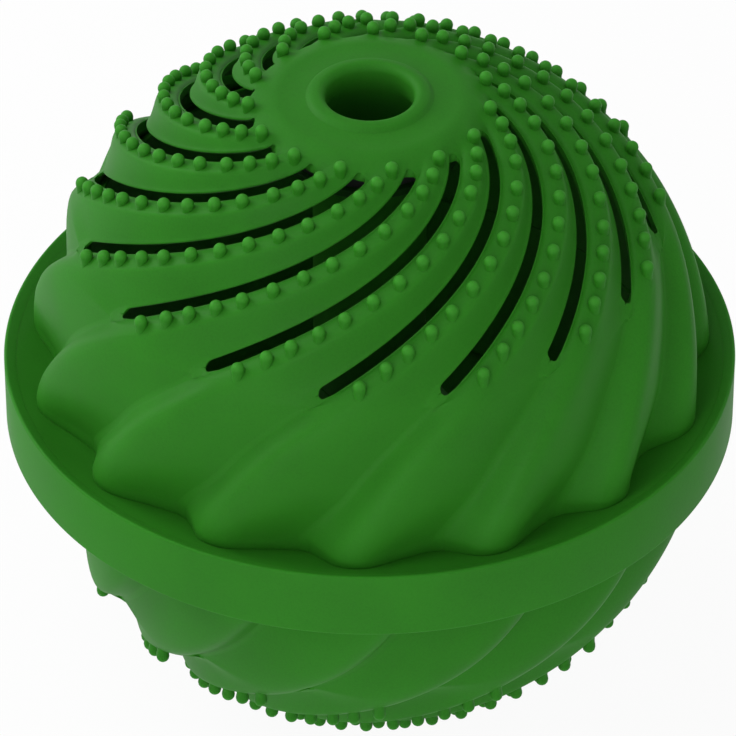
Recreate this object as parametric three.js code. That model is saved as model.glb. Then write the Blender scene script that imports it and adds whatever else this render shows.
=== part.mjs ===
// Laundry ball: two identical ridged half shells joined by a plain rim band, with a hole right through
// along the axis, a ring magnet behind each hub and a loose load of ceramic pellets in the hollow.
// Millimetres, +Z up. The origin is the centre of the ball, halfway up the band. Azimuth is measured
// from the front (-Y) towards +X, and tilt is the angle down from the top of the axis.

import * as THREE from 'three';

const degrees = THREE.MathUtils.degToRad;
const { lerp, inverseLerp, smoothstep } = THREE.MathUtils;
const TURN = 2 * Math.PI;

// Rim band
const BAND_RADIUS = 54;
const BAND_HEIGHT = 10.6;
const BAND_BORE = 52.3;
const BAND_EDGE = 0.4; // chamfer of the outer edges
const BAND_RIM = 0.5; // flat left on the top edge, outside the slope down to the bore
const BAND_RIM_SLOPE = 0.9;
const LIP_RADIUS = 51; // inward lip under the lower flange
const LIP_THICKNESS = 0.7;
const BAND_SIDES = 60;

// Half shell: a dome through the ridge crests, a hub on top and a dished flange round the foot. The dome's
// profile is a superellipse, a little fuller than an ellipse.
const DOME_RADIUS = 50.6;
const DOME_HEIGHT = 51.75;
const DOME_POWER = 2.11;
const WALL = 2;
const HUB_FACE = 50.2;
const HUB_RADIUS = 13.8;
const HUB_WALL = 2.7;
const FLANGE_RADIUS = 51.9;
const DISH_FLOOR = 2.4; // height of the dished flange at DISH_RADIUS
const DISH_RADIUS = 45;
const DISH_SLOPE = 0.27;
const PARTING_GAP = 0.3; // between the two halves at mid height

// Hole through the hub and the tube that lines it
const HOLE_RADIUS = 6.5;
const MOUTH_ROUNDING = 2.8;
const TUBE_RADIUS = 8.3;
const HOLE_SIDES = 30;

// Nubs: a row of upright pegs on the tread of each ridge, evenly stepped in tilt
const NUBS_PER_ROW = 14;
const NUB_ORBIT = 51.74; // plan radius of a nub at a tilt of 90 degrees
const FIRST_NUB_TILT = degrees(19.7);
const FIRST_NUB_AZIMUTH = degrees(34.3);
const NUB_STEP = degrees(2.73);
const NUB_BASE = { round: 1.6, inwards: 1.2 }; // width of the foot round the axis and towards it
const NUB_TAPER = 0.75; // width of the flat top, as a share of the foot's
const NUB_HEIGHT = 2.3;
const NUB_BELOW_HUB = 0.2; // least drop from the face of the hub to a nub

// Ridges: steps along the arms of an Archimedean spiral in plan. Each has a tread for its nubs, a crest and a
// steep riser that falls to the slot before the next tread, and ends in a smooth lobe at the foot. Distances
// across a ridge are measured in plan from its row of nubs, and sinks are measured down from the dome.
const RIDGES = 15;
const PITCH = TURN / RIDGES;
const SPIRAL_LEAD = 106.6; // gain in plan radius over one full turn
const SLOT_FAR = -3.69; // edge of the slot at the foot of the riser above
const SLOT_NEAR = -2.13; // edge of the slot at the tread
const CREST_OFFSET = 1.3;
const SINK_RADIUS = 30; // where the two edges have these sinks
const FAR_SINK = 2.33;
const FAR_SINK_GAIN = 0.129; // per millimetre outwards
const NEAR_SINK = 1.9;
const NEAR_SINK_GAIN = 0.083;
const FADE_END = 19; // plan radius where the steps have grown to their full depth, from nothing at the hub
const RISER_SHARE = 0.5; // place and depth of the corner halfway down the hollow riser
const RISER_SINK = 0.68;
const FOOT_DEPTH = 4.9;
const TOE = 0.9; // how far each lobe tucks in at its foot
const BOWL_RADIUS = DOME_RADIUS - TOE - FOOT_DEPTH - WALL; // inside of the foot
const LOBE_HEIGHTS = [8, 16, 23];
const LOBE = [
  { phase: degrees(-8.5), share: 1 },
  { phase: degrees(-5), share: 0.75 },
  { phase: degrees(1), share: 0 },
  { phase: degrees(8.5), share: 0.42 },
]; // corners of a lobe's section: two in the valley, the crest and the long flank
const CORNERS = LOBE.length; // of each ridge's section on the outside
const INNER_CORNERS = 2; // on the inside, which only follows the slot's edges

// Slots: one right through the wall before each tread, between gaps in its row of nubs. A gap is taken a
// little outside halfway between two nubs, because the straight edge across a tread cuts inside its circle.
const GAP_PLACE = 0.65; // steps beyond the last nub
const gapRadius = (gap) => NUB_ORBIT * Math.sin(FIRST_NUB_TILT + (gap - 1 + GAP_PLACE) * NUB_STEP);
const SLOT_RADII = [14, 12, 10, 8, 6, 4, 2, 1].map(gapRadius);
const FIRST_NUB_RADIUS = NUB_ORBIT * Math.sin(FIRST_NUB_TILT);

// Ring magnets and the push-on rings that hold them behind the hubs
const FIT_GAP = 0.35;
const MAGNET_BORE = 8.7;
const MAGNET_RADIUS = 13;
const MAGNET_THICKNESS = 4;
const RETAINER_RADIUS = 13.4;
const RETAINER_THICKNESS = 1.2;
const RING_SIDES = 24;
const MAGNET_TOP = HUB_FACE - HUB_WALL - FIT_GAP;
const RETAINER_TOP = MAGNET_TOP - MAGNET_THICKNESS - FIT_GAP;
const RETAINER_LOW = RETAINER_TOP - RETAINER_THICKNESS;

// Pellets: three rings of balls lying in the lower half, one on the retainer and two on the bowl
const PELLET_RADIUS = 3.2;
const PELLET_GAP = 1;
const INNER_PELLETS = { count: 11, radius: 12 };
const BOWL_PELLETS = [
  { count: 15, radius: 19.5 },
  { count: 22, radius: 26.5 },
];

const plain = (color, roughness, metalness = 0) =>
  new THREE.MeshStandardMaterial({ color, roughness, metalness, flatShading: true });
const SHELL_GREEN = plain(0x2e7323, 0.55);
const BAND_GREEN = plain(0x317825, 0.5);
const MAGNET_METAL = plain(0x35363a, 0.45, 0.6);
const RETAINER_GREEN = plain(0x1f4d19, 0.5);
const PELLET_KINDS = [
  { kind: 'cream', material: plain(0xe3d8c0, 0.85) },
  { kind: 'terracotta', material: plain(0xa85a3c, 0.85) },
  { kind: 'grey', material: plain(0x8d8f90, 0.85) },
  { kind: 'brown', material: plain(0x6b4a34, 0.85) },
];

// Closed skin of triangles, built from points and the faces between them
class Skin {
  points = [];
  index = [];

  add(points) {
    return points.map((point) => this.points.push(point) - 1);
  }

  triangle(a, b, c) {
    this.index.push(a, b, c);
  }

  // Four-cornered face, split along its shorter diagonal
  quad(a, b, c, d) {
    const across = (i, j) => this.points[i].distanceTo(this.points[j]);
    if (across(a, c) < across(b, d)) {
      this.index.push(a, b, c, a, c, d);
    } else {
      this.index.push(a, b, d, b, c, d);
    }
  }

  // Strip between two rings that start side by side and may differ in their number of points
  bridge(low, high) {
    let i = 0;
    let j = 0;
    while (i < low.length || j < high.length) {
      const from = low[i % low.length];
      const over = high[j % high.length];
      if ((i + 1) * high.length <= (j + 1) * low.length) {
        i += 1;
        this.triangle(from, low[i % low.length], over);
      } else {
        j += 1;
        this.triangle(from, high[j % high.length], over);
      }
    }
  }

  chain(rings) {
    rings.slice(1).forEach((ring, i) => this.bridge(rings[i], ring));
  }

  geometry() {
    return new THREE.BufferGeometry().setFromPoints(this.points).setIndex(this.index);
  }
}

// Point on the circle of a given radius and height
function onCircle(radius, azimuth, z) {
  return new THREE.Vector3(radius * Math.sin(azimuth), -radius * Math.cos(azimuth), z);
}

// Profile of the dome, by plan radius or by height
function domeHeight(radius) {
  return DOME_HEIGHT * (1 - (radius / DOME_RADIUS) ** DOME_POWER) ** (1 / DOME_POWER);
}

function domeRadius(z) {
  return DOME_RADIUS * (1 - (z / DOME_HEIGHT) ** DOME_POWER) ** (1 / DOME_POWER);
}

// Angle of the dome's normal from the axis
function domeTilt(radius, z) {
  const outward = (radius / DOME_RADIUS) ** (DOME_POWER - 1) / DOME_RADIUS;
  const upward = (z / DOME_HEIGHT) ** (DOME_POWER - 1) / DOME_HEIGHT;
  return Math.atan2(outward, upward);
}

function dishHeight(radius) {
  return DISH_FLOOR + DISH_SLOPE * (radius - DISH_RADIUS);
}

// Azimuth of the first row of nubs, which winds back as the dome widens
function rowAzimuth(radius) {
  return FIRST_NUB_AZIMUTH - (TURN * (radius - FIRST_NUB_RADIUS)) / SPIRAL_LEAD;
}

// Turn in azimuth that moves a point a given distance square across the ridges in plan
function turnAcross(radius, distance) {
  return distance * Math.hypot(1 / radius, TURN / SPIRAL_LEAD);
}

// Corners of a step's section: the slot's two edges, the crest and a corner of the riser
function stepSection(radius) {
  const fade = smoothstep(radius, HUB_RADIUS, FADE_END);
  const outwards = radius - SINK_RADIUS;
  const far = { phase: turnAcross(radius, SLOT_FAR), sink: fade * (FAR_SINK + FAR_SINK_GAIN * outwards) };
  const near = { phase: turnAcross(radius, SLOT_NEAR), sink: fade * (NEAR_SINK + NEAR_SINK_GAIN * outwards) };
  const crest = { phase: turnAcross(radius, CREST_OFFSET), sink: 0 };
  const riser = { phase: lerp(crest.phase, PITCH + far.phase, RISER_SHARE), sink: RISER_SINK * far.sink };
  return [far, near, crest, riser];
}

// Corners of a lobe's section, blended from the last step's
function lobeSection(radius, depth, blend) {
  return stepSection(radius).map((corner, i) => ({
    phase: lerp(corner.phase, LOBE[i].phase, blend),
    sink: lerp(corner.sink, LOBE[i].share * depth, blend),
  }));
}

// Rings of the dome from the foot up. Each has a point on the dome, the corners of its section and the
// direction in which they sink: straight down among the steps, turning inwards along the lobes.
function domeRows() {
  const slotEnd = SLOT_RADII[0];
  const stepRow = (radius) => {
    return { radius, z: domeHeight(radius), lean: 0, section: stepSection(radius) };
  };
  const lobeRow = (z) => {
    const radius = domeRadius(z);
    const blend = 1 - smoothstep(z, LOBE_HEIGHTS[1], domeHeight(slotEnd));
    const lean = (1 - z / domeHeight(slotEnd)) * domeTilt(radius, z);
    return { radius, z, lean, section: lobeSection(radius, FOOT_DEPTH, blend) };
  };
  const foot = { ...lobeRow(DISH_FLOOR), radius: DOME_RADIUS - TOE, lean: Math.PI / 2, isFoot: true };
  return [foot, ...LOBE_HEIGHTS.map(lobeRow), ...[...SLOT_RADII, gapRadius(0)].map(stepRow)];
}

// Point of a ring, sunk from the dome
function sunkPoint(row, azimuth, sink) {
  const radius = row.radius - sink * Math.sin(row.lean);
  return onCircle(radius, azimuth, row.z - sink * Math.cos(row.lean));
}

// Ring of points round the ball, one for each of the first corners of each ridge's section
function ridgeRing(row, corners, point) {
  const section = row.section.slice(0, corners);
  const ring = [];
  for (let ridge = 0; ridge < RIDGES; ridge += 1) {
    for (const { phase, sink } of section) {
      ring.push(point(rowAzimuth(row.radius) + ridge * PITCH + phase, sink));
    }
  }
  return ring;
}

function outerRing(row) {
  return ridgeRing(row, CORNERS, (azimuth, sink) => {
    if (row.isFoot) {
      return onCircle(row.radius - sink, azimuth, dishHeight(row.radius - sink));
    }
    return sunkPoint(row, azimuth, sink);
  });
}

// Ring of the smooth bowl inside, a wall's thickness behind the valleys
function innerRing(row) {
  const deepest = row.section[0].sink;
  const behind = deepest + WALL / Math.cos(domeTilt(row.radius, row.z) - row.lean);
  return ridgeRing(row, INNER_CORNERS, (azimuth) => sunkPoint(row, azimuth, behind));
}

function holeRing(radius, z) {
  const start = rowAzimuth(gapRadius(0)) + turnAcross(gapRadius(0), SLOT_FAR);
  const corner = (_, side) => onCircle(radius, start + (TURN * side) / HOLE_SIDES, z);
  return Array.from({ length: HOLE_SIDES }, corner);
}

// Height of a tread, which runs from the slot's near edge to the crest
function treadHeight(radius, azimuth, ridge) {
  const [, near, crest] = stepSection(radius);
  const phase = azimuth - rowAzimuth(radius) - ridge * PITCH;
  return domeHeight(radius) - lerp(near.sink, crest.sink, inverseLerp(near.phase, crest.phase, phase));
}

// Corners of a nub's foot on the tread and of its flat top. Nubs beside the hub stop just below its face.
function nubCorners(tilt, ridge) {
  const radius = NUB_ORBIT * Math.sin(tilt);
  const azimuth = rowAzimuth(radius) + ridge * PITCH;
  const top = Math.min(treadHeight(radius, azimuth, ridge) + NUB_HEIGHT, HUB_FACE - NUB_BELOW_HUB);
  const corners = [[-1, 1], [1, 1], [1, -1], [-1, -1]];
  const place = ([round, outwards], share) => {
    const reach = radius + (outwards * share * NUB_BASE.inwards) / 2;
    return [reach, azimuth + (round * share * NUB_BASE.round) / 2 / reach];
  };
  const footPoint = ([reach, turn]) => onCircle(reach, turn, treadHeight(reach, turn, ridge));
  const topPoint = ([reach, turn]) => onCircle(reach, turn, top);
  return {
    foot: corners.map((corner) => footPoint(place(corner, 1))),
    top: corners.map((corner) => topPoint(place(corner, NUB_TAPER))),
  };
}

// Stretch of tread between four corners, with a nub raised on it at each given tilt
function treadWithNubs(skin, corners, tilts, ridge) {
  const nubs = tilts.map((tilt) => {
    const { foot, top } = nubCorners(tilt, ridge);
    return { foot: skin.add(foot), top: skin.add(top) };
  });
  const plan = (i) => new THREE.Vector2(skin.points[i].x, skin.points[i].y);
  const holes = nubs.map(({ foot }) => foot);
  const order = [corners, ...holes].flat();
  const faces = THREE.ShapeUtils.triangulateShape(corners.map(plan), holes.map((hole) => hole.map(plan)));
  for (const [a, b, c] of faces) {
    skin.triangle(order[a], order[b], order[c]);
  }
  for (const { foot, top } of nubs) {
    for (let i = 0; i < foot.length; i += 1) {
      const next = (i + 1) % foot.length;
      skin.quad(foot[i], foot[next], top[next], top[i]);
    }
    skin.quad(...top);
  }
}

// Ridges outside and smooth bowl inside, with the slots left open in both
function domeSkins(skin, rows, outer, inner) {
  const nubTilts = Array.from({ length: NUBS_PER_ROW }, (_, i) => FIRST_NUB_TILT + i * NUB_STEP);
  for (let row = 0; row + 1 < rows.length; row += 1) {
    const low = rows[row].radius;
    const high = rows[row + 1].radius;
    const slotted = low <= SLOT_RADII[0] && high >= SLOT_RADII.at(-1);
    const between = (tilt) => NUB_ORBIT * Math.sin(tilt) < low && NUB_ORBIT * Math.sin(tilt) > high;
    const tilts = low <= SLOT_RADII[0] ? nubTilts.filter(between) : [];
    outer[row].forEach((a, i, ring) => {
      const next = (i + 1) % ring.length;
      const cell = [a, ring[next], outer[row + 1][next], outer[row + 1][i]];
      const corner = i % CORNERS;
      if (corner === 1 && tilts.length > 0) {
        treadWithNubs(skin, cell, tilts, Math.floor(i / CORNERS));
      } else if (corner !== 0 || !slotted) {
        skin.quad(...cell);
      }
    });
    inner[row].forEach((a, i, ring) => {
      const next = (i + 1) % ring.length;
      if (i % INNER_CORNERS !== 0 || !slotted) {
        skin.quad(inner[row + 1][i], inner[row + 1][next], ring[next], a);
      }
    });
  }
}

// Walls of the slots, up one edge and down the other
function slotWalls(skin, outer, inner) {
  const first = 1 + LOBE_HEIGHTS.length;
  const edge = (corner) => SLOT_RADII.map((_, step) => ({ row: first + step, corner }));
  const loop = [...edge(0), ...edge(1).reverse()];
  for (let ridge = 0; ridge < RIDGES; ridge += 1) {
    const outside = ({ row, corner }) => outer[row][ridge * CORNERS + corner];
    const inside = ({ row, corner }) => inner[row][ridge * INNER_CORNERS + corner];
    loop.forEach((here, i) => {
      const next = loop[(i + 1) % loop.length];
      skin.quad(outside(here), inside(here), inside(next), outside(next));
    });
  }
}

// One half of the ball's casing, hub upwards: ridged dome, dished flange, hub, hole and tube
function halfShell() {
  const skin = new Skin();
  const rows = domeRows();
  const [foot] = rows;
  const hubEdge = rows.at(-1);
  const outer = rows.map((row) => skin.add(outerRing(row)));
  const inner = rows.map((row) => skin.add(innerRing(row)));
  domeSkins(skin, rows, outer, inner);
  slotWalls(skin, outer, inner);
  const low = PARTING_GAP / 2;
  const flangeRing = (z) => ridgeRing(foot, CORNERS, (azimuth) => onCircle(FLANGE_RADIUS, azimuth, z));
  const flange = [
    ridgeRing(foot, INNER_CORNERS, (azimuth) => onCircle(BOWL_RADIUS, azimuth, low)),
    flangeRing(low),
    flangeRing(dishHeight(FLANGE_RADIUS)),
  ];
  const ceiling = HUB_FACE - HUB_WALL;
  const halfway = MOUTH_ROUNDING * (1 - Math.SQRT1_2);
  const core = [
    ridgeRing(hubEdge, CORNERS, (azimuth) => onCircle(HUB_RADIUS, azimuth, HUB_FACE)),
    holeRing(HOLE_RADIUS + MOUTH_ROUNDING, HUB_FACE),
    holeRing(HOLE_RADIUS + halfway, HUB_FACE - halfway),
    holeRing(HOLE_RADIUS, HUB_FACE - MOUTH_ROUNDING),
    holeRing(HOLE_RADIUS, low),
    holeRing(TUBE_RADIUS, low),
    holeRing(TUBE_RADIUS, ceiling),
    holeRing(RETAINER_RADIUS + FIT_GAP, ceiling),
  ];
  skin.chain([inner[0], ...flange.map((ring) => skin.add(ring)), outer[0]]);
  skin.chain([outer.at(-1), ...core.map((ring) => skin.add(ring)), inner.at(-1)]);
  return skin.geometry();
}

// Ring turned about the axis from a closed section of [radius, height] corners
function turned(section, sides) {
  const corners = [...section, section[0]].map(([radius, z]) => new THREE.Vector2(radius, z));
  return new THREE.LatheGeometry(corners, sides).rotateX(Math.PI / 2);
}

// Band open at the top, so that the upper half lifts out, with a lip under the lower flange
function rimBand() {
  const top = BAND_HEIGHT / 2;
  const rim = BAND_RADIUS - BAND_EDGE - BAND_RIM;
  const section = [
    [LIP_RADIUS, -top],
    [BAND_RADIUS - BAND_EDGE, -top],
    [BAND_RADIUS, BAND_EDGE - top],
    [BAND_RADIUS, top - BAND_EDGE],
    [BAND_RADIUS - BAND_EDGE, top],
    [rim, top],
    [BAND_BORE, top - (rim - BAND_BORE) * BAND_RIM_SLOPE],
    [BAND_BORE, LIP_THICKNESS - top],
    [LIP_RADIUS, LIP_THICKNESS - top],
  ];
  return turned(section, BAND_SIDES);
}

function flatRing(bore, radius, low, high) {
  return turned([[bore, low], [radius, low], [radius, high], [bore, high]], RING_SIDES);
}

function named(name, geometry, material) {
  const mesh = new THREE.Mesh(geometry, material);
  mesh.name = name;
  return mesh;
}

// One half of the ball, hub upwards: shell, ring magnet and its retainer
function half(side, shell) {
  const magnet = flatRing(MAGNET_BORE, MAGNET_RADIUS, MAGNET_TOP - MAGNET_THICKNESS, MAGNET_TOP);
  const retainer = flatRing(MAGNET_BORE, RETAINER_RADIUS, RETAINER_LOW, RETAINER_TOP);
  return new THREE.Group().add(
    named(`${side}_shell`, shell, SHELL_GREEN),
    named(`${side}_ring_magnet`, magnet, MAGNET_METAL),
    named(`${side}_magnet_retainer`, retainer, RETAINER_GREEN),
  );
}

// Places of the pellets in a bowl, hub upwards as the half shell is
function pelletPlaces() {
  const clear = PELLET_RADIUS + PELLET_GAP;
  const round = (count, place) => Array.from({ length: count }, (_, i) => place((TURN * i) / count));
  const { count, radius } = INNER_PELLETS;
  return [
    round(count, (azimuth) => onCircle(radius, azimuth, RETAINER_LOW - clear)),
    ...BOWL_PELLETS.map((ring) => {
      const z = domeHeight(ring.radius);
      const tilt = domeTilt(ring.radius, z);
      const [{ sink }] = stepSection(ring.radius);
      const behind = WALL + clear;
      return round(ring.count, (azimuth) =>
        onCircle(ring.radius - behind * Math.sin(tilt), azimuth, z - sink - behind * Math.cos(tilt)),
      );
    }),
  ].flat();
}

function pellets() {
  const group = new THREE.Group();
  pelletPlaces().forEach((place, i) => {
    const { kind, material } = PELLET_KINDS[i % PELLET_KINDS.length];
    const number = String(Math.floor(i / PELLET_KINDS.length) + 1).padStart(2, '0');
    const ball = new THREE.IcosahedronGeometry(PELLET_RADIUS);
    const pellet = named(`pellet_${kind}_${number}`, ball, material);
    pellet.position.copy(place);
    group.add(pellet);
  });
  return group;
}

const shell = halfShell();
const upperHalf = half('upper', shell);
const lowerHalf = half('lower', shell).add(pellets());
lowerHalf.rotation.y = Math.PI;

const laundryBall = new THREE.Group();
laundryBall.add(upperHalf, lowerHalf, named('rim_band', rimBand(), BAND_GREEN));

export default laundryBall;
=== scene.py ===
"""Looks of a laundry ball: two ridged, slotted half shells in a rim band, ring magnets and ceramic pellets.

Sizes are in millimetres up to the point where a mesh is made. Azimuth is measured from the front (-Y)
towards +X. Each half is modelled hub upwards and the lower one is turned over.
"""
import math
import random

import bmesh
import bpy
from mathutils import Matrix, Vector, kdtree, noise


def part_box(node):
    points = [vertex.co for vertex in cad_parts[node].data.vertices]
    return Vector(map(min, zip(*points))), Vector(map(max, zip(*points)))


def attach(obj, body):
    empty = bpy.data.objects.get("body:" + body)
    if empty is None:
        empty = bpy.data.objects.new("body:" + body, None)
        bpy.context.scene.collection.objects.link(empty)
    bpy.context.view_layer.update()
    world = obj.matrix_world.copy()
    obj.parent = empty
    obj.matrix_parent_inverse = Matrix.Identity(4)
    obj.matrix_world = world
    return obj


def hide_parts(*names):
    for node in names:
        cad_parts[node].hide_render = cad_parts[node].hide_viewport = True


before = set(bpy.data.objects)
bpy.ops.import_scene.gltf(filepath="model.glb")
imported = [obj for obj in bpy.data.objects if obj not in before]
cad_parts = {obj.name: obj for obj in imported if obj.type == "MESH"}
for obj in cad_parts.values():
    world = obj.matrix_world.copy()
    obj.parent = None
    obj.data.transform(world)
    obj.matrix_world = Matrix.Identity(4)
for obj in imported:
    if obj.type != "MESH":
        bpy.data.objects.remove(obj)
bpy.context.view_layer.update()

MM = 0.001
TURN = 2 * math.pi
TINY = 1e-6

# Dome through the ridge crests: a superellipse in profile
DOME_RADIUS = 50.6
DOME_HEIGHT = 51.75
DOME_POWER = 2.11
WALL = 2.0  # behind the valleys of the lobes
SLOT_WALL = 0.6  # behind the deepest edge of the slots

# Hub, hole and tube
HUB_FACE = 50.2
HUB_RADIUS = 13.8
HUB_EDGE = 0.7  # width of the rounding between the hub's face and the dome
HUB_EDGE_INSETS = (0, 0.15, 0.6)  # of close rings that keep the face flat up to that rounding
HUB_WALL = 2.7
HOLE_RADIUS = 6.4
MOUTH_ROUNDING = 1.2
BORE_RADIUS, BORE_FLARE = 7.2, 1.5  # of the tube below the hole's mouth, and the height of its widening
TUBE_RADIUS = 8.3
CEILING_RADIUS = 13.75
CORE_SIDES = 96

# Low round collar of the hole: its foot's fillet as an inset and a rise, its shoulder as insets and drops
COLLAR_RADIUS, COLLAR_TOP = 9.3, 51.0
COLLAR_FILLET = (0.15, 0.06)
COLLAR_SHOULDER = ((0.45, 0.4), (0.8, 0.15))

# Flange round the foot, dished towards the lobes
FLANGE_RADIUS = 52.19
DISH_FLOOR = 2.4
DISH_RADIUS = 45
DISH_SLOPE, DISH_CURVE = 0.17, 0.0185
DISH_SHARES = (0.06, 0.2, 0.45, 0.75)  # of the way from the lobes' toes to the rim
PARTING = 0.15  # half the gap between the two halves

# Rows of nubs along the arms of an Archimedean spiral
RIDGES = 15
PITCH = TURN / RIDGES
SPIRAL_GAIN = 16.966  # plan radius gained per radian
NUB_ORBIT, NUB_RISE = 51.74, 53.16  # half axes of the ellipse that the nubs follow
NUB_TILTS = [
    math.radians(tilt)
    for tilt in (19.7, 22.25, 24.7, 27.3, 30.45, 33.3, 36.15, 38.9, 41.75, 44.6, 47.1, 49.75, 52.15, 55)
]
FIRST_NUB_AZIMUTH = math.radians(34.3)
FIRST_NUB_RADIUS = NUB_ORBIT * math.sin(NUB_TILTS[0])

# One nub: a peg with a ball top
NUB_RADIUS, NUB_FOOT = 0.97, 0.84
NUB_ROOT = 1.4  # depth below the tread
NUB_SWELL = (0.7, 0.5)  # shares of the way from foot to ball, outwards and upwards, at the ring between
NUB_CAP = 75  # degrees up to the last ring under the top
NUB_SINK = 0.15  # of the ball's centre below the ellipse
NUB_SIDES = 16
NUB_REACH = 1.1 * NUB_RADIUS  # distance from the ball's centre within which a point counts as the nub's
HIGHLIGHT_RISE = (-0.2, 0.9)  # heights over a nub's centre, in its radius, between which its top gets a painted highlight

# Steps: distances across a ridge from its row of nubs, and sinks below the dome
FAR = -3.9
NEAR = -2.13
CREST = 1.2
CREST_LIMIT = 0.75  # share of the way from one slot to the next that the crest stays within
SINK_RADIUS = 30
FAR_SINK, FAR_SINK_GAIN = 2.33, 0.129
NEAR_SINK, NEAR_SINK_GAIN = 1.9, 0.083
STEP_FADE_END = 19
TREAD_CROWN = 1.75
RISER_HOLLOW = 1.64
CREST_ROUNDING = 0.9

# Slots and their lips: the far lip as a shift across and a drop for each column down to the slot's wall
SLOT_IN, SLOT_IN_ROUND = 17.1, 0.5
SLOT_OUT, SLOT_OUT_ROUND = 41.5, 0.3
LEAST_OPENING = 0.12  # share of the width at the very ends
LIP_WIDTH, LIP_DROP = 0.2, 0.3
LIP_REACH = 3 * LIP_WIDTH  # width over which a tread bends down to its slot
FAR_LIP = [(0, 0), (0.07, 0.07), (0.08, 0.28), (-0.15, 0.62)]
LIP_FADE = (-0.02, 0.1)  # distances inside the ends of a slot between which its lips grow
UNDERCUT = 0.45  # of a slot's far wall on the inside
END_WALL = 0.06  # gap between the ends of a slot and the rows that close them

# Lobes: depth of their valleys, and heights at which they start and end
LOBE_DEPTH = 4.9
LOBE_DEPTH_LOSS = 0.11  # per millimetre upwards
LOBE_TOP, LOBE_FULL = 31.0, 25.0  # heights between which the steps turn into lobes
TOE_TOP, TOE_INSET = 5.0, 0.15  # height at which the toes start to round in, and how far they do

# Sections of the lobes at the foot and on their flanks: key lines, and share of the valley's depth,
# against the phase in degrees from the row of nubs
LOBE_PERIOD = 24.0
FOOT_KEYS = {"far": -8.5, "near": -6.0, "crest": 2.0, "end": 15.5}
FOOT_CURVE = [
    (-7, 1), (-4.5, 0.75), (-2.8, 0.5), (-1.4, 0.25), (0.4, 0.07), (2.7, 0),
    (4.6, 0.07), (6.3, 0.25), (8.2, 0.5), (10.6, 0.75), (14, 0.95),
]
FLANK_KEYS = {"far": -3.6, "near": -2.0, "crest": 2.0, "end": 20.4}
FLANK_CURVE = [
    (-2.7, 1), (-1.8, 0.9), (-1, 0.69), (-0.2, 0.43), (0.7, 0.2), (1.8, 0.06), (3.2, 0),
    (5.2, 0.05), (8, 0.21), (12, 0.48), (15, 0.69), (17.5, 0.85), (19.5, 0.95), (20.8, 0.99),
]
FLANK_LOW, FLANK_HIGH = 2.5, 14.0  # heights between which one section turns into the other

# Columns of a ridge's section, each at a share of the way between two of its key lines. On the far lip
# of a slot that share is a distance in millimetres
SECTION = (
    [("far", "near", s) for s in (0, 0.02, 0.04, 0.06, 0.92)]
    + [("near", "crest", s) for s in (0, 0.05, 0.12, 0.22, 0.34, 0.46, 0.58, 0.7, 0.8, 0.88, 0.95)]
    + [("crest", "end", s) for s in (0, 0.06, 0.13, 0.22, 0.34, 0.48, 0.62, 0.76, 0.88, 0.95)]
)
HOLE_FAR, HOLE_NEAR = 3, 4  # columns along the two edges of a slot
INNER_SECTION = (HOLE_FAR, HOLE_NEAR, 9, 12, 16)  # columns that the inside has too

# Rows of the ridges from the hub to the foot
ROW_STEP = 0.5
SLOT_END_SHARES = (0, 0.04, 0.15, 0.35, 0.65)  # of the rounding at the slots' ends
LOBE_ROWS_DROP = 0.4  # from the slots' outer ends down to the lobes' first row
TOE_ANGLES = range(0, 91, 15)  # degrees round the lobes' toes

# Edges sharper than this, in degrees, are shaded crisp
CRISP = 38

# Rim band: its inner slope carries on the dish up to a narrow rounded edge
BAND_RADIUS, BAND_TOP, BAND_EDGE = 54.0, 5.3, 0.35
BAND_BORE = 52.2
BAND_SLOPE_START = 117  # degrees round the upper edge to where the inner slope starts
BAND_LIP_RADIUS, BAND_LIP_TOP, BAND_LIP_CHAMFER = 51.0, -4.6, 0.1
BAND_SIDES = 288

# Ring magnets and their retainers
RING_BORE = 8.7
MAGNET_EDGE = 0.4
RETAINER_EDGE = 0.25
RING_SIDES = 96

# Pellets: balls with lumps, as a share of the radius and a rate, and a flat
PELLET_RADIUS = 3.05
PELLET_LUMPS = ((0.03, 1.3), (0.008, 5))
PELLET_FLAT = 0.95  # share of the radius
NOISE_SHIFT = 50

# Colours
SHELL_GREEN = (0.024, 0.183, 0.0105)
# Paler green painted on the nub tops as a highlight
NUB_HIGHLIGHT_GREEN = (0.04, 0.245, 0.02)
BAND_GREEN = (0.0245, 0.187, 0.011)
RETAINER_GREEN = (0.013, 0.073, 0.01)
FERRITE_GREY = (0.045, 0.045, 0.05)

# Noise values that most of a surface lies between
NOISE_LOW, NOISE_HIGH = 0.3, 0.7


def lerp(a, b, share):
    return a + (b - a) * share


def smoothstep(value, low, high):
    share = min(1.0, max(0.0, (value - low) / (high - low)))
    return share * share * (3 - 2 * share)


def smooth_max(a, b, width):
    near = max(width - abs(a - b), 0) / width
    return max(a, b) + near * near * width / 4


def spread(low, high, step):
    """Even values from low up to, but not including, high."""
    count = max(1, round(abs(high - low) / step))
    return [lerp(low, high, i / count) for i in range(count)]


def on_circle(radius, azimuth, z):
    return (radius * math.sin(azimuth), -radius * math.cos(azimuth), z)


def dome_height(radius):
    return DOME_HEIGHT * (1 - (radius / DOME_RADIUS) ** DOME_POWER) ** (1 / DOME_POWER)


def dome_radius(z):
    return DOME_RADIUS * (1 - (z / DOME_HEIGHT) ** DOME_POWER) ** (1 / DOME_POWER)


def dish_height(radius):
    outwards = radius - DISH_RADIUS
    return DISH_FLOOR + (DISH_SLOPE + DISH_CURVE * outwards) * outwards


def row_azimuth(radius):
    return FIRST_NUB_AZIMUTH - (radius - FIRST_NUB_RADIUS) / SPIRAL_GAIN


def turn_per_mm(radius):
    """Turn in azimuth for each millimetre square across the ridges."""
    return math.hypot(1 / radius, 1 / SPIRAL_GAIN)


def ridge_end(radius):
    """Distance across a ridge from its row of nubs to the next slot's far edge."""
    return FAR + PITCH / turn_per_mm(radius)


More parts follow.
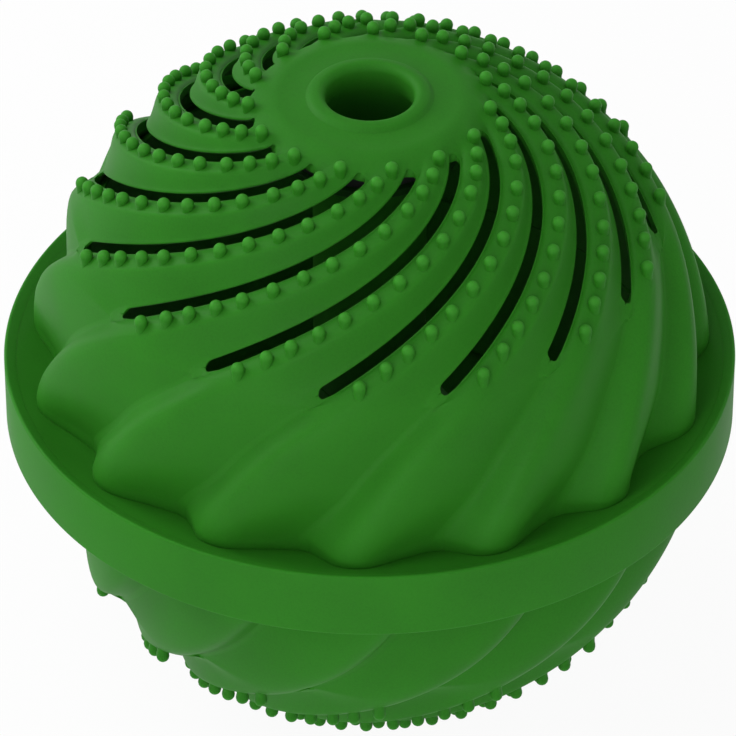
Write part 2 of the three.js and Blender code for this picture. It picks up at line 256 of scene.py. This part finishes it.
def crest_across(radius):
    """Distance across a ridge from its row of nubs to its crest, less where ridges are narrow."""
    return min(CREST, lerp(NEAR, ridge_end(radius), CREST_LIMIT))


def step_fade(radius):
    """Share of their full height that the steps have, from none at the hub."""
    return smoothstep(radius, HUB_RADIUS, STEP_FADE_END)


def step_sinks(radius):
    """Sinks of the slot's far and near edges."""
    fade = step_fade(radius)
    outwards = radius - SINK_RADIUS
    return fade * (FAR_SINK + FAR_SINK_GAIN * outwards), fade * (NEAR_SINK + NEAR_SINK_GAIN * outwards)


def step_sink(radius, across):
    """Sink below the dome of a tread, a crest or a riser."""
    far_sink, near_sink = step_sinks(radius)
    crest = crest_across(radius)
    inwards = (crest - across) / (crest - NEAR)
    tread = near_sink * (inwards**TREAD_CROWN if inwards > 0 else inwards)
    down = (across - crest) / (ridge_end(radius) - crest)
    hollow = 1 - (1 - min(down, 1)) ** RISER_HOLLOW if down > 0 else RISER_HOLLOW * down
    lip = lip_share(radius) * LIP_DROP * max(0, 1 - (across - NEAR) / LIP_REACH) ** 2
    return smooth_max(tread + lip, far_sink * hollow, CREST_ROUNDING * step_fade(radius) + TINY)


def slot_opening(radius):
    """Share of the slot's width that is open at this radius: rounded off at both ends."""
    inside = min((radius - SLOT_IN) / SLOT_IN_ROUND, (SLOT_OUT - radius) / SLOT_OUT_ROUND)
    return max(LEAST_OPENING, math.sqrt(1 - (1 - min(max(inside, 0), 1)) ** 2))


def lip_share(radius):
    """Share of their depth that the slot's lips have: full along the slot, none past its ends."""
    return smoothstep(min(radius - SLOT_IN, SLOT_OUT - radius), *LIP_FADE)


def section_across(radius, column):
    """Distance across the ridge of one column of the section, among the steps."""
    start, _, share = SECTION[column]
    if start == "far":
        if column == 0:
            return FAR
        edge = NEAR - LIP_WIDTH
        if column <= HOLE_FAR:
            edge = FAR + share + FAR_LIP[column][0] * lip_share(radius)
        return lerp((FAR + NEAR) / 2, edge, slot_opening(radius))
    if start == "near":
        return lerp(NEAR, crest_across(radius), share)
    return lerp(crest_across(radius), ridge_end(radius), share)


def row_slant(radius, across):
    """Change of radius that sets a row square to the slots, and back to its start before the next one."""
    half = (NEAR - FAR) / 2
    if across < NEAR:
        shift = across - FAR - half
    else:
        shift = lerp(half, -half, (across - NEAR) / (ridge_end(radius) - NEAR))
    return smoothstep(radius, HUB_RADIUS, SLOT_IN) * shift * radius / math.hypot(radius, SPIRAL_GAIN)


def column_sink(radius, column, across):
    """Sink below the dome of one column of the section, among the steps."""
    if across >= NEAR:
        return step_sink(radius, across)
    far_sink, near_sink = step_sinks(radius)
    drop = LIP_DROP if column == HOLE_NEAR else FAR_LIP[column][1]
    return lerp(far_sink, near_sink, (across - FAR) / (NEAR - FAR)) + drop * lip_share(radius)


def along_curve(keys, phase):
    """Smooth curve through (phase, share) keys that repeats from ridge to ridge."""
    points = [(p + turn * LOBE_PERIOD, s) for turn in (-1, 0, 1) for p, s in keys]
    i = max(k for k in range(len(points) - 2) if points[k][0] <= phase)
    (p0, s0), (p1, s1), (p2, s2), (p3, s3) = points[i - 1:i + 3]
    share = (phase - p1) / (p2 - p1)
    slope_1 = (s2 - s0) / (p2 - p0) * (p2 - p1)
    slope_2 = (s3 - s1) / (p3 - p1) * (p2 - p1)
    square, cube = share**2, share**3
    return (
        s1 * (2 * cube - 3 * square + 1)
        + slope_1 * (cube - 2 * square + share)
        + s2 * (3 * square - 2 * cube)
        + slope_2 * (cube - square)
    )


def lobe_column(column, z):
    """Phase in degrees and share of the valley's depth of one column, among the lobes."""
    start, end, share = SECTION[column]
    foot = lerp(FOOT_KEYS[start], FOOT_KEYS[end], share)
    flank = lerp(FLANK_KEYS[start], FLANK_KEYS[end], share)
    height = smoothstep(z, FLANK_LOW, FLANK_HIGH)
    depth = lerp(along_curve(FOOT_CURVE, foot), along_curve(FLANK_CURVE, flank), height)
    return lerp(foot, flank, height), depth


def lobe_depth(z):
    return LOBE_DEPTH - LOBE_DEPTH_LOSS * (z - DISH_FLOOR)


def ridge_row(radius, z):
    """Outer and inner points of one ridge, as (radius, azimuth, height), for a point of the dome."""
    blend = 1 - smoothstep(z, LOBE_FULL, LOBE_TOP)
    behind_lobe = radius - lobe_depth(z) - WALL
    outer, inner = [], []
    for column in range(len(SECTION)):
        across = section_across(radius, column)
        step_radius = radius + row_slant(radius, across) * (1 - blend)
        sink = column_sink(step_radius, column, across)
        phase, share = lobe_column(column, z)
        turn = lerp(across * turn_per_mm(step_radius), math.radians(phase), blend)
        azimuth = row_azimuth(step_radius) + turn
        lobe_radius = radius - lobe_depth(z) * share
        step_z = dome_height(step_radius)
        outer.append((lerp(step_radius, lobe_radius, blend), azimuth, lerp(step_z - sink, z, blend)))
        if column in INNER_SECTION:
            behind_step = step_z - step_sinks(step_radius)[0] - FAR_LIP[-1][1] - SLOT_WALL
            inner_radius = lerp(step_radius, behind_lobe, blend)
            back = UNDERCUT * turn_per_mm(step_radius) * (1 - blend) if column == HOLE_FAR else 0
            inner.append((inner_radius, azimuth - back, lerp(behind_step, z, blend)))
    return outer, inner


def toe_row(angle):
    """Row of the lobes' rounded toes, from 0 at their top to a quarter turn on the dish."""
    outer, inner = ridge_row(dome_radius(TOE_TOP), TOE_TOP)
    inset = TOE_INSET * (1 - math.cos(angle))
    low = [(r - inset, a, lerp(TOE_TOP, dish_height(r - inset), math.sin(angle))) for r, a, _ in outer]
    return low, [(r, a, lerp(TOE_TOP, DISH_FLOOR, math.sin(angle))) for r, a, _ in inner]


def ridge_rows():
    """Rows of the ridged skin from the hub to the foot, and which of them bound the slots."""
    radii = spread(HUB_RADIUS, SLOT_IN - END_WALL, ROW_STEP) + [SLOT_IN - END_WALL]
    radii += [SLOT_IN + SLOT_IN_ROUND * share for share in SLOT_END_SHARES]
    radii += spread(SLOT_IN + SLOT_IN_ROUND, SLOT_OUT - SLOT_OUT_ROUND, ROW_STEP)
    radii += [SLOT_OUT - SLOT_OUT_ROUND * share for share in (1, *reversed(SLOT_END_SHARES))]
    slotted = [i for i, radius in enumerate(radii) if radius > SLOT_IN - TINY]
    radii.append(SLOT_OUT + END_WALL)
    rows = [ridge_row(radius, dome_height(radius)) for radius in radii]
    heights = spread(dome_height(SLOT_OUT) - LOBE_ROWS_DROP, TOE_TOP, ROW_STEP)
    rows += [ridge_row(dome_radius(z), z) for z in heights]
    rows += [toe_row(math.radians(angle)) for angle in TOE_ANGLES]
    return rows, slotted


class Skin:
    """Points and faces of one mesh, in millimetres."""

    def __init__(self):
        self.points = []
        self.faces = []

    def ring(self, points):
        start = len(self.points)
        self.points.extend(points)
        return list(range(start, len(self.points)))

    def circle(self, radius, z, azimuths):
        return self.ring([on_circle(radius, azimuth, z) for azimuth in azimuths])

    def strip(self, low, high, is_open=lambda i: False):
        """Faces between two rings of as many points, apart from the open ones."""
        for i in range(len(low)):
            if not is_open(i):
                after = (i + 1) % len(low)
                self.faces.append((low[i], low[after], high[after], high[i]))

    def bridge(self, low, high):
        """Triangles between two rings that start side by side and differ in their number of points."""
        i = j = 0
        while i < len(low) or j < len(high):
            here, over = low[i % len(low)], high[j % len(high)]
            if (i + 1) * len(high) <= (j + 1) * len(low):
                i += 1
                self.faces.append((here, low[i % len(low)], over))
            else:
                j += 1
                self.faces.append((here, high[j % len(high)], over))

    def chain(self, rings):
        for low, high in zip(rings, rings[1:]):
            if len(low) == len(high):
                self.strip(low, high)
            else:
                self.bridge(low, high)

    def mesh(self, name):
        mesh = bpy.data.meshes.new(name)
        mesh.from_pydata([Vector(point) * MM for point in self.points], [], self.faces)
        work = bmesh.new()
        work.from_mesh(mesh)
        bmesh.ops.recalc_face_normals(work, faces=work.faces)
        work.to_mesh(mesh)
        work.free()
        return mesh

    def object(self, name):
        obj = bpy.data.objects.new(name, self.mesh(name))
        bpy.context.collection.objects.link(obj)
        return obj


def soften(mesh):
    """Smooth shading, kept crisp across sharp edges."""
    mesh.shade_smooth()
    mesh.set_sharp_from_angle(angle=math.radians(CRISP))


def round_ridges(row):
    """Points of a row all round the ball."""
    return [on_circle(r, a + ridge * PITCH, z) for ridge in range(RIDGES) for r, a, z in row]


def azimuths_of(row):
    """Azimuths of a row's points all round the ball."""
    return [a + ridge * PITCH for ridge in range(RIDGES) for _, a, _ in row]


def arc(centre, radius, start, stop, steps):
    """Corners of an arc in a section, with angles in degrees from outwards to upwards."""
    angles = [math.radians(lerp(start, stop, i / steps)) for i in range(steps + 1)]
    return [(centre[0] + radius * math.cos(a), centre[1] + radius * math.sin(a)) for a in angles]


def ridged_skins(skin, rows, slotted):
    """Ridges outside and bowl inside, with the slots and their walls."""
    outer = [skin.ring(round_ridges(row)) for row, _ in rows]
    inner = [skin.ring(round_ridges(row)) for _, row in rows]
    wide, narrow = len(SECTION), len(INNER_SECTION)
    for i in range(len(rows) - 1):
        in_slot = i in slotted and i + 1 in slotted
        skin.strip(outer[i], outer[i + 1], lambda k: in_slot and k % wide == HOLE_FAR)
        skin.strip(inner[i + 1], inner[i], lambda k: in_slot and k % narrow == 0)
    down = [(i, 0) for i in slotted]
    loop = down + [(i, 1) for i in reversed(slotted)]
    for ridge in range(RIDGES):
        top = [outer[i][ridge * wide + HOLE_FAR + side] for i, side in loop]
        low = [inner[i][ridge * narrow + side] for i, side in loop]
        skin.strip(top, low)
    return outer, inner


def collar():
    """Radius and height along the low round collar of the hole, from the hub's face inwards."""
    inset, rise = COLLAR_FILLET
    foot = [(COLLAR_RADIUS, HUB_FACE), (COLLAR_RADIUS - inset, HUB_FACE + rise)]
    shoulder = [(COLLAR_RADIUS - inset, COLLAR_TOP - drop) for inset, drop in COLLAR_SHOULDER]
    centre = HOLE_RADIUS + MOUTH_ROUNDING, COLLAR_TOP - MOUTH_ROUNDING
    return foot + shoulder + arc(centre, MOUTH_ROUNDING, 90, 180, 8)


def half_shell():
    """One half of the casing without its nubs, hub upwards."""
    skin = Skin()
    rows, slotted = ridge_rows()
    outer, inner = ridged_skins(skin, rows, slotted)

    foot, bowl = rows[-1]
    foot_azimuths = azimuths_of(foot)
    dish = []
    for share in DISH_SHARES:
        radii = [lerp(r, FLANGE_RADIUS, share) for r, _, _ in foot]
        dish.append([(r, a, dish_height(r)) for r, (_, a, _) in zip(radii, foot)])
    bowl_radius = bowl[0][0]
    skin.chain(
        [outer[-1]]
        + [skin.ring(round_ridges(row)) for row in dish]
        + [skin.circle(FLANGE_RADIUS, dish_height(FLANGE_RADIUS), foot_azimuths)]
        + [skin.circle(FLANGE_RADIUS, PARTING, foot_azimuths)]
        + [skin.circle(bowl_radius, PARTING, azimuths_of(bowl)), inner[-1]]
    )

    hub_azimuths = azimuths_of(rows[0][0])
    core = [hub_azimuths[0] + TURN * i / CORE_SIDES for i in range(CORE_SIDES)]
    hub_radii = [HUB_RADIUS - HUB_EDGE - inset for inset in HUB_EDGE_INSETS]
    ceiling = HUB_FACE - HUB_WALL
    hole = collar() + [(HOLE_RADIUS, ceiling), (BORE_RADIUS, ceiling - BORE_FLARE), (BORE_RADIUS, PARTING)]
    hole += [(TUBE_RADIUS, PARTING), (TUBE_RADIUS, ceiling)]
    skin.chain(
        [outer[0]]
        + [skin.circle(radius, HUB_FACE, hub_azimuths) for radius in hub_radii]
        + [skin.circle(radius, z, core) for radius, z in hole]
        + [skin.circle(CEILING_RADIUS, ceiling, azimuths_of(rows[0][1])), inner[0]]
    )
    return skin.object("half_shell")


def nub_profile(tread, centre):
    """Radius and height from the sunk foot of a nub to the last ring under its top."""
    wider, higher = NUB_SWELL
    swell = lerp(NUB_FOOT, NUB_RADIUS, wider), lerp(tread, centre, higher)
    foot = [(NUB_FOOT, tread - NUB_ROOT), (NUB_FOOT, tread), swell]
    return foot + arc((0, centre), NUB_RADIUS, 0, NUB_CAP, 4)


def nub_centres():
    """Centres of the round tops of all the nubs of one half."""
    centres = []
    for row in range(RIDGES):
        for tilt in NUB_TILTS:
            radius = NUB_ORBIT * math.sin(tilt)
            azimuth = row_azimuth(radius) + row * PITCH
            centres.append(Vector(on_circle(radius, azimuth, NUB_RISE * math.cos(tilt) - NUB_SINK)))
    return centres


def nubs():
    """All the nubs of one half, as upright round-topped pegs."""
    skin = Skin()
    azimuths = [TURN * i / NUB_SIDES for i in range(NUB_SIDES)]
    for centre in nub_centres():
        radius = math.hypot(centre.x, centre.y)
        tread = dome_height(radius) - step_sink(radius, 0)
        axis = Vector((centre.x, centre.y, 0))
        rings = [
            skin.ring([Vector(on_circle(r, a, z)) + axis for a in azimuths])
            for r, z in nub_profile(tread, centre.z)
        ]
        skin.chain(rings)
        top = skin.ring([centre + Vector((0, 0, NUB_RADIUS))])[0]
        for k in range(NUB_SIDES):
            skin.faces.append((rings[-1][k], rings[-1][(k + 1) % NUB_SIDES], top))
        skin.faces.append(tuple(reversed(rings[0])))
    return skin.object("nubs")


def mark_nub_highlights(mesh):
    """Attribute that runs from 0 low on a nub to 1 on its top, for a painted highlight on the tops."""
    centres = nub_centres()
    tree = kdtree.KDTree(len(centres))
    for index, centre in enumerate(centres):
        tree.insert(centre * MM, index)
    tree.balance()
    shares = []
    for vertex in mesh.vertices:
        centre, _, distance = tree.find(vertex.co)
        rise = (vertex.co.z - centre.z) / (NUB_RADIUS * MM)
        shares.append(smoothstep(rise, *HIGHLIGHT_RISE) if distance < NUB_REACH * MM else 0.0)
    mesh.attributes.new("nub_highlight", "FLOAT", "POINT").data.foreach_set("value", shares)


def united(body, addition, name):
    """Mesh of the two closed objects joined into one. Both objects are removed."""
    join = body.modifiers.new("join", "BOOLEAN")
    join.operation = "UNION"
    join.solver = "MANIFOLD"
    join.object = addition
    mesh = bpy.data.meshes.new_from_object(body.evaluated_get(bpy.context.evaluated_depsgraph_get()))
    mesh.name = name
    bpy.data.objects.remove(body)
    bpy.data.objects.remove(addition)
    return mesh


def turned(name, section, sides):
    """Softly shaded ring turned about the axis from a closed section of (radius, height) corners."""
    skin = Skin()
    azimuths = [TURN * i / sides for i in range(sides)]
    rings = [skin.circle(radius, z, azimuths) for radius, z in section]
    skin.chain(rings + rings[:1])
    ring = skin.object(name)
    soften(ring.data)
    return ring


def rounded_box_section(inner, outer, low, high, edge):
    """Section of a flat ring with rounded edges."""
    corners = [(outer - edge, low + edge, -90), (outer - edge, high - edge, 0)]
    corners += [(inner + edge, high - edge, 90), (inner + edge, low + edge, 180)]
    return [point for x, z, angle in corners for point in arc((x, z), edge, angle, angle + 90, 4)]


class Nodes:
    """A material's shader nodes, with short calls for the ones used here."""

    def __init__(self, name):
        self.material = bpy.data.materials.new(name)
        self.material.use_nodes = True
        self.tree = self.material.node_tree
        self.shader = self.tree.nodes["Principled BSDF"]

    def add(self, kind, **values):
        node = self.tree.nodes.new(kind)
        for name, value in values.items():
            setattr(node, name, value)
        return node

    def link(self, source, target):
        self.tree.links.new(source, target)

    def noise(self, size_mm, detail=2.0, roughness=0.5):
        """Noise with features of about this size."""
        node = self.add("ShaderNodeTexNoise")
        self.link(self.add("ShaderNodeTexCoord").outputs["Object"], node.inputs["Vector"])
        node.inputs["Scale"].default_value = 1 / (size_mm * MM)
        node.inputs["Detail"].default_value = detail
        node.inputs["Roughness"].default_value = roughness
        return node.outputs["Fac"]

    def ramp(self, factor, stops):
        """Colours along a factor, as (position, colour) stops."""
        node = self.add("ShaderNodeValToRGB")
        self.link(factor, node.inputs["Fac"])
        ramp = node.color_ramp
        while len(ramp.elements) < len(stops):
            ramp.elements.new(0.5)
        for element, (position, colour) in zip(ramp.elements, stops):
            element.position = position
            element.color = (*colour, 1)
        return node.outputs["Color"]

    def mix(self, factor, first, second):
        node = self.add("ShaderNodeMix", data_type="RGBA")
        self.link(factor, node.inputs["Factor"])
        self.link(first, node.inputs["A"])
        self.link(second, node.inputs["B"])
        return node.outputs["Result"]

    def multiply(self, first, second):
        node = self.add("ShaderNodeMix", data_type="RGBA", blend_type="MULTIPLY")
        node.inputs["Factor"].default_value = 1.0
        self.link(first, node.inputs["A"])
        self.link(second, node.inputs["B"])
        return node.outputs["Result"]

    def greater(self, first, second):
        node = self.add("ShaderNodeMath", operation="MAXIMUM")
        self.link(first, node.inputs[0])
        self.link(second, node.inputs[1])
        return node.outputs[0]

    def spread(self, factor, low, high):
        """Noise rescaled to run from low to high."""
        node = self.add("ShaderNodeMapRange")
        self.link(factor, node.inputs["Value"])
        node.inputs["From Min"].default_value = NOISE_LOW
        node.inputs["From Max"].default_value = NOISE_HIGH
        node.inputs["To Min"].default_value = low
        node.inputs["To Max"].default_value = high
        return node.outputs["Result"]

    def bump(self, height, strength, depth_mm, under=None):
        node = self.add("ShaderNodeBump")
        node.inputs["Strength"].default_value = strength
        node.inputs["Distance"].default_value = depth_mm * MM
        self.link(height, node.inputs["Height"])
        if under:
            self.link(under, node.inputs["Normal"])
        return node.outputs["Normal"]

    def finish(self, colour, roughness, normal, **sockets):
        self.link(colour, self.shader.inputs["Base Color"])
        self.link(roughness, self.shader.inputs["Roughness"])
        self.link(normal, self.shader.inputs["Normal"])
        for name, value in sockets.items():
            self.shader.inputs[name.replace("_", " ")].default_value = value
        return self.material


def tinted(colour, factor):
    return tuple(channel * factor for channel in colour)


def moulded_plastic(name, colour, gloss):
    """Soft, slightly translucent plastic: faint flow marks, fine grain, uneven sheen, and a painted
    highlight on the nub tops.
    """
    nodes = Nodes(name)
    flow = nodes.noise(14, detail=3)
    grain = nodes.noise(0.35, detail=2, roughness=0.6)
    cloud = nodes.ramp(flow, [(0.3, tinted(colour, 0.93)), (0.5, colour), (0.72, tinted(colour, 1.07))])
    specks = nodes.ramp(grain, [(0.25, (0.9, 0.9, 0.9)), (0.6, (1, 1, 1))])
    # Paler green on the nub tops: a painted highlight
    painted_highlight = nodes.ramp(flow, [(0.3, tinted(NUB_HIGHLIGHT_GREEN, 0.95)), (0.72, tinted(NUB_HIGHLIGHT_GREEN, 1.05))])
    top = nodes.add("ShaderNodeAttribute", attribute_name="nub_highlight").outputs["Fac"]
    ripple = nodes.bump(flow, 0.06, 0.25)
    return nodes.finish(
        nodes.mix(top, nodes.multiply(cloud, specks), painted_highlight),
        nodes.spread(flow, gloss, gloss + 0.08),
        nodes.bump(grain, 0.12, 0.05, ripple),
        Specular_IOR_Level=0.1,
        Subsurface_Weight=0.3,
        Subsurface_Radius=(0.3, 1.0, 0.2),
        Subsurface_Scale=1.5 * MM,
    )


def fired_ceramic(name, colour, speckle):
    """Unglazed fired clay: speckled body, chalky grain and small pits."""
    nodes = Nodes(name)
    body = nodes.noise(2.2, detail=4)
    grit = nodes.noise(0.4, detail=3, roughness=0.7)
    clay = nodes.ramp(body, [(0.3, tinted(colour, 0.86)), (0.55, colour), (0.75, tinted(colour, 1.1))])
    specks = nodes.ramp(grit, [(0.34, speckle), (0.42, (1, 1, 1))])
    return nodes.finish(
        nodes.multiply(clay, specks),
        nodes.spread(grit, 0.78, 0.95),
        nodes.bump(grit, 0.5, 0.12, nodes.bump(body, 0.3, 0.2)),
        Specular_IOR_Level=0.25,
    )


def sintered_ferrite(name, colour):
    """Pressed and ground magnet: dark grey with fine bright grains."""
    nodes = Nodes(name)
    grain = nodes.noise(0.25, detail=3, roughness=0.65)
    cloud = nodes.noise(4, detail=2)
    body = nodes.ramp(cloud, [(0.3, tinted(colour, 0.8)), (0.7, tinted(colour, 1.2))])
    specks = nodes.ramp(grain, [(0.55, (1, 1, 1)), (0.75, (1.6, 1.6, 1.7))])
    return nodes.finish(
        nodes.multiply(body, specks),
        nodes.spread(grain, 0.38, 0.55),
        nodes.bump(grain, 0.3, 0.04),
        Metallic=0.4,
    )


materials = {
    "shell_green": moulded_plastic("shell_green_plastic", SHELL_GREEN, 0.52),
    "band_green": moulded_plastic("band_green_plastic", BAND_GREEN, 0.52),
    "retainer_green": moulded_plastic("retainer_green_plastic", RETAINER_GREEN, 0.45),
    "magnet_metal": sintered_ferrite("magnet_ferrite", FERRITE_GREY),
    "pellet_cream": fired_ceramic("cream_ceramic", (0.76, 0.66, 0.5), (0.75, 0.62, 0.5)),
    "pellet_terracotta": fired_ceramic("terracotta_ceramic", (0.4, 0.125, 0.06), (0.6, 0.5, 0.45)),
    "pellet_grey": fired_ceramic("grey_ceramic", (0.27, 0.28, 0.285), (0.55, 0.55, 0.58)),
    "pellet_brown": fired_ceramic("brown_ceramic", (0.16, 0.082, 0.04), (0.5, 0.42, 0.38)),
}


def dress(obj, body, slot, *nodes):
    """Gives a piece its material and body, and hides the CAD nodes that it stands for."""
    obj.data.materials.clear()
    obj.data.materials.append(materials[slot])
    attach(obj, body)
    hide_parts(*nodes)


def place(mesh, name, turn=0.0):
    """Object of a mesh, turned over about the Y axis by an angle."""
    obj = bpy.data.objects.new(name, mesh)
    obj.matrix_world = Matrix.Rotation(turn, 4, "Y")
    bpy.context.collection.objects.link(obj)
    return obj


def rim_band():
    """Band with rounded outer edges, a slope down to the upper flange and a lip under the lower one."""
    outer = BAND_RADIUS - BAND_EDGE
    lip, chamfer = BAND_LIP_RADIUS, BAND_LIP_CHAMFER
    section = (
        arc((outer, BAND_EDGE - BAND_TOP), BAND_EDGE, -90, 0, 5)
        + arc((outer, BAND_TOP - BAND_EDGE), BAND_EDGE, 0, BAND_SLOPE_START, 7)
        + [(BAND_BORE, dish_height(BAND_BORE)), (BAND_BORE, BAND_LIP_TOP)]
        + [(lip + chamfer, BAND_LIP_TOP), (lip, BAND_LIP_TOP - chamfer)]
        + [(lip, chamfer - BAND_TOP), (lip + chamfer, -BAND_TOP)]
    )
    return turned("rim_band_skin", section, BAND_SIDES)


def ring_in_box(name, node, edge):
    """Flat ring with rounded edges that fills a CAD node's box."""
    low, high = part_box(node)
    section = rounded_box_section(RING_BORE, high.x / MM, low.z / MM, high.z / MM, edge)
    return turned(name, section, RING_SIDES)


def ceramic_ball(name, node, seed):
    """Hand-rolled pellet: a ball that is slightly out of round, with a shallow flat where it dried."""
    low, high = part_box(node)
    work = bmesh.new()
    bmesh.ops.create_icosphere(work, subdivisions=4, radius=1)
    chance = random.Random(seed)
    shift = Vector([chance.uniform(-NOISE_SHIFT, NOISE_SHIFT) for _ in range(3)])
    flat = Vector([chance.gauss(0, 1) for _ in range(3)]).normalized()
    for vertex in work.verts:
        way = vertex.co.normalized()
        lumps = sum(share * noise.noise(way * rate + shift) for share, rate in PELLET_LUMPS)
        dried = min(0.0, PELLET_FLAT - way.dot(flat))
        vertex.co = way * (PELLET_RADIUS * MM) * (1 + lumps + dried)
    mesh = bpy.data.meshes.new(name)
    work.to_mesh(mesh)
    work.free()
    mesh.shade_smooth()
    obj = place(mesh, name)
    obj.location = (low + high) / 2
    return obj


# Half shells
shell_mesh = united(half_shell(), nubs(), "shell_skin")
soften(shell_mesh)
# Mask of the nub tops for their painted highlight
mark_nub_highlights(shell_mesh)
dress(place(shell_mesh, "upper_shell_skin"), "upper_half", "shell_green", "upper_shell")
dress(place(shell_mesh.copy(), "lower_shell_skin", math.pi), "lower_half", "shell_green", "lower_shell")

# Rim band
dress(rim_band(), "band", "band_green", "rim_band")

# Ring magnets and their retainers
for side in ("upper", "lower"):
    magnet = ring_in_box(f"{side}_magnet_ring", f"{side}_ring_magnet", MAGNET_EDGE)
    dress(magnet, f"{side}_half", "magnet_metal", f"{side}_ring_magnet")
    retainer = ring_in_box(f"{side}_retainer_ring", f"{side}_magnet_retainer", RETAINER_EDGE)
    dress(retainer, f"{side}_half", "retainer_green", f"{side}_magnet_retainer")

# Pellets
for number, node in enumerate(sorted(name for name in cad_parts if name.startswith("pellet_"))):
    kind = node.split("_")[1]
    dress(ceramic_ball(f"{node}_ball", node, number), "pellet_load", f"pellet_{kind}", node)

# Camera at the photograph's viewing angle, with its distance in metres
ELEVATION = math.radians(38.18)
DISTANCE = 0.918
camera = bpy.data.objects.new("camera", bpy.data.cameras.new("camera"))
camera.location = (0, -DISTANCE * math.cos(ELEVATION), DISTANCE * math.sin(ELEVATION))
camera.rotation_euler = (math.pi / 2 - ELEVATION, 0, 0)
camera.data.lens = 302.7
camera.data.sensor_width = 36
camera.data.shift_x = -0.0022
camera.data.shift_y = 0.0041
camera.data.clip_start = 0.05
bpy.context.collection.objects.link(camera)
bpy.context.scene.camera = camera


def area_light(name, location, size, power):
    """Soft square lamp aimed at the ball, in metres and watts."""
    lamp = bpy.data.lights.new(name, "AREA")
    lamp.size = size
    lamp.energy = power
    obj = bpy.data.objects.new(name, lamp)
    obj.location = location
    obj.rotation_euler = (-Vector(location)).to_track_quat("-Z", "Y").to_euler()
    bpy.context.collection.objects.link(obj)


# Soft studio light: the main lamp on the left and slightly behind, one low in front and one overhead
area_light("key", (-0.85, 0.45, 0.6), size=0.5, power=5.4)
area_light("fill", (-0.25, -1.0, 0.3), size=0.6, power=3.3)
area_light("top", (-0.3, -0.2, 0.95), size=0.35, power=1.9)

# White surroundings, brighter round the horizon than overhead
HORIZON_STRENGTH, ZENITH_STRENGTH = 0.75, 0.4
world = bpy.data.worlds.new("studio")
bpy.context.scene.world = world
world.use_nodes = True
sky = world.node_tree
way = sky.nodes.new("ShaderNodeTexCoord")
upwards = sky.nodes.new("ShaderNodeSeparateXYZ")
sky.links.new(way.outputs["Generated"], upwards.inputs[0])
fall = sky.nodes.new("ShaderNodeMapRange")
sky.links.new(upwards.outputs["Z"], fall.inputs["Value"])
fall.inputs["To Min"].default_value = HORIZON_STRENGTH
fall.inputs["To Max"].default_value = ZENITH_STRENGTH
sky.links.new(fall.outputs["Result"], sky.nodes["Background"].inputs["Strength"])
sky.nodes["Background"].inputs["Color"].default_value = (1, 1, 1, 1)

# Floor: white to the camera and in reflections, with a faint shadow of the ball
FLOOR, FLOOR_HALF = -51.3 * MM, 6.0  # height and half width in metres
FLOOR_GLOW = 0.94  # share of plain white against the lit paper
corners = [(x * FLOOR_HALF, y * FLOOR_HALF, FLOOR) for x, y in ((-1, -1), (1, -1), (1, 1), (-1, 1))]
floor_mesh = bpy.data.meshes.new("floor")
floor_mesh.from_pydata(corners, [], [(0, 1, 2, 3)])
floor = bpy.data.objects.new("floor", floor_mesh)
bpy.context.collection.objects.link(floor)
paper = Nodes("white_paper")
paper.shader.inputs["Base Color"].default_value = (0.85, 0.85, 0.85, 1)
paper.shader.inputs["Roughness"].default_value = 0.9
glow = paper.add("ShaderNodeEmission")
glow.inputs["Color"].default_value = (1, 1, 1, 1)
path = paper.add("ShaderNodeLightPath").outputs
reflected = paper.greater(path["Is Glossy Ray"], path["Is Transmission Ray"])
seen = paper.add("ShaderNodeMath", operation="MULTIPLY")
paper.link(paper.greater(path["Is Camera Ray"], reflected), seen.inputs[0])
seen.inputs[1].default_value = FLOOR_GLOW
blend = paper.add("ShaderNodeMixShader")
paper.link(seen.outputs[0], blend.inputs["Fac"])
paper.link(paper.shader.outputs["BSDF"], blend.inputs[1])
paper.link(glow.outputs["Emission"], blend.inputs[2])
paper.link(blend.outputs["Shader"], paper.tree.nodes["Material Output"].inputs["Surface"])
floor_mesh.materials.append(paper.material)

bpy.context.scene.view_settings.view_transform = "Standard"
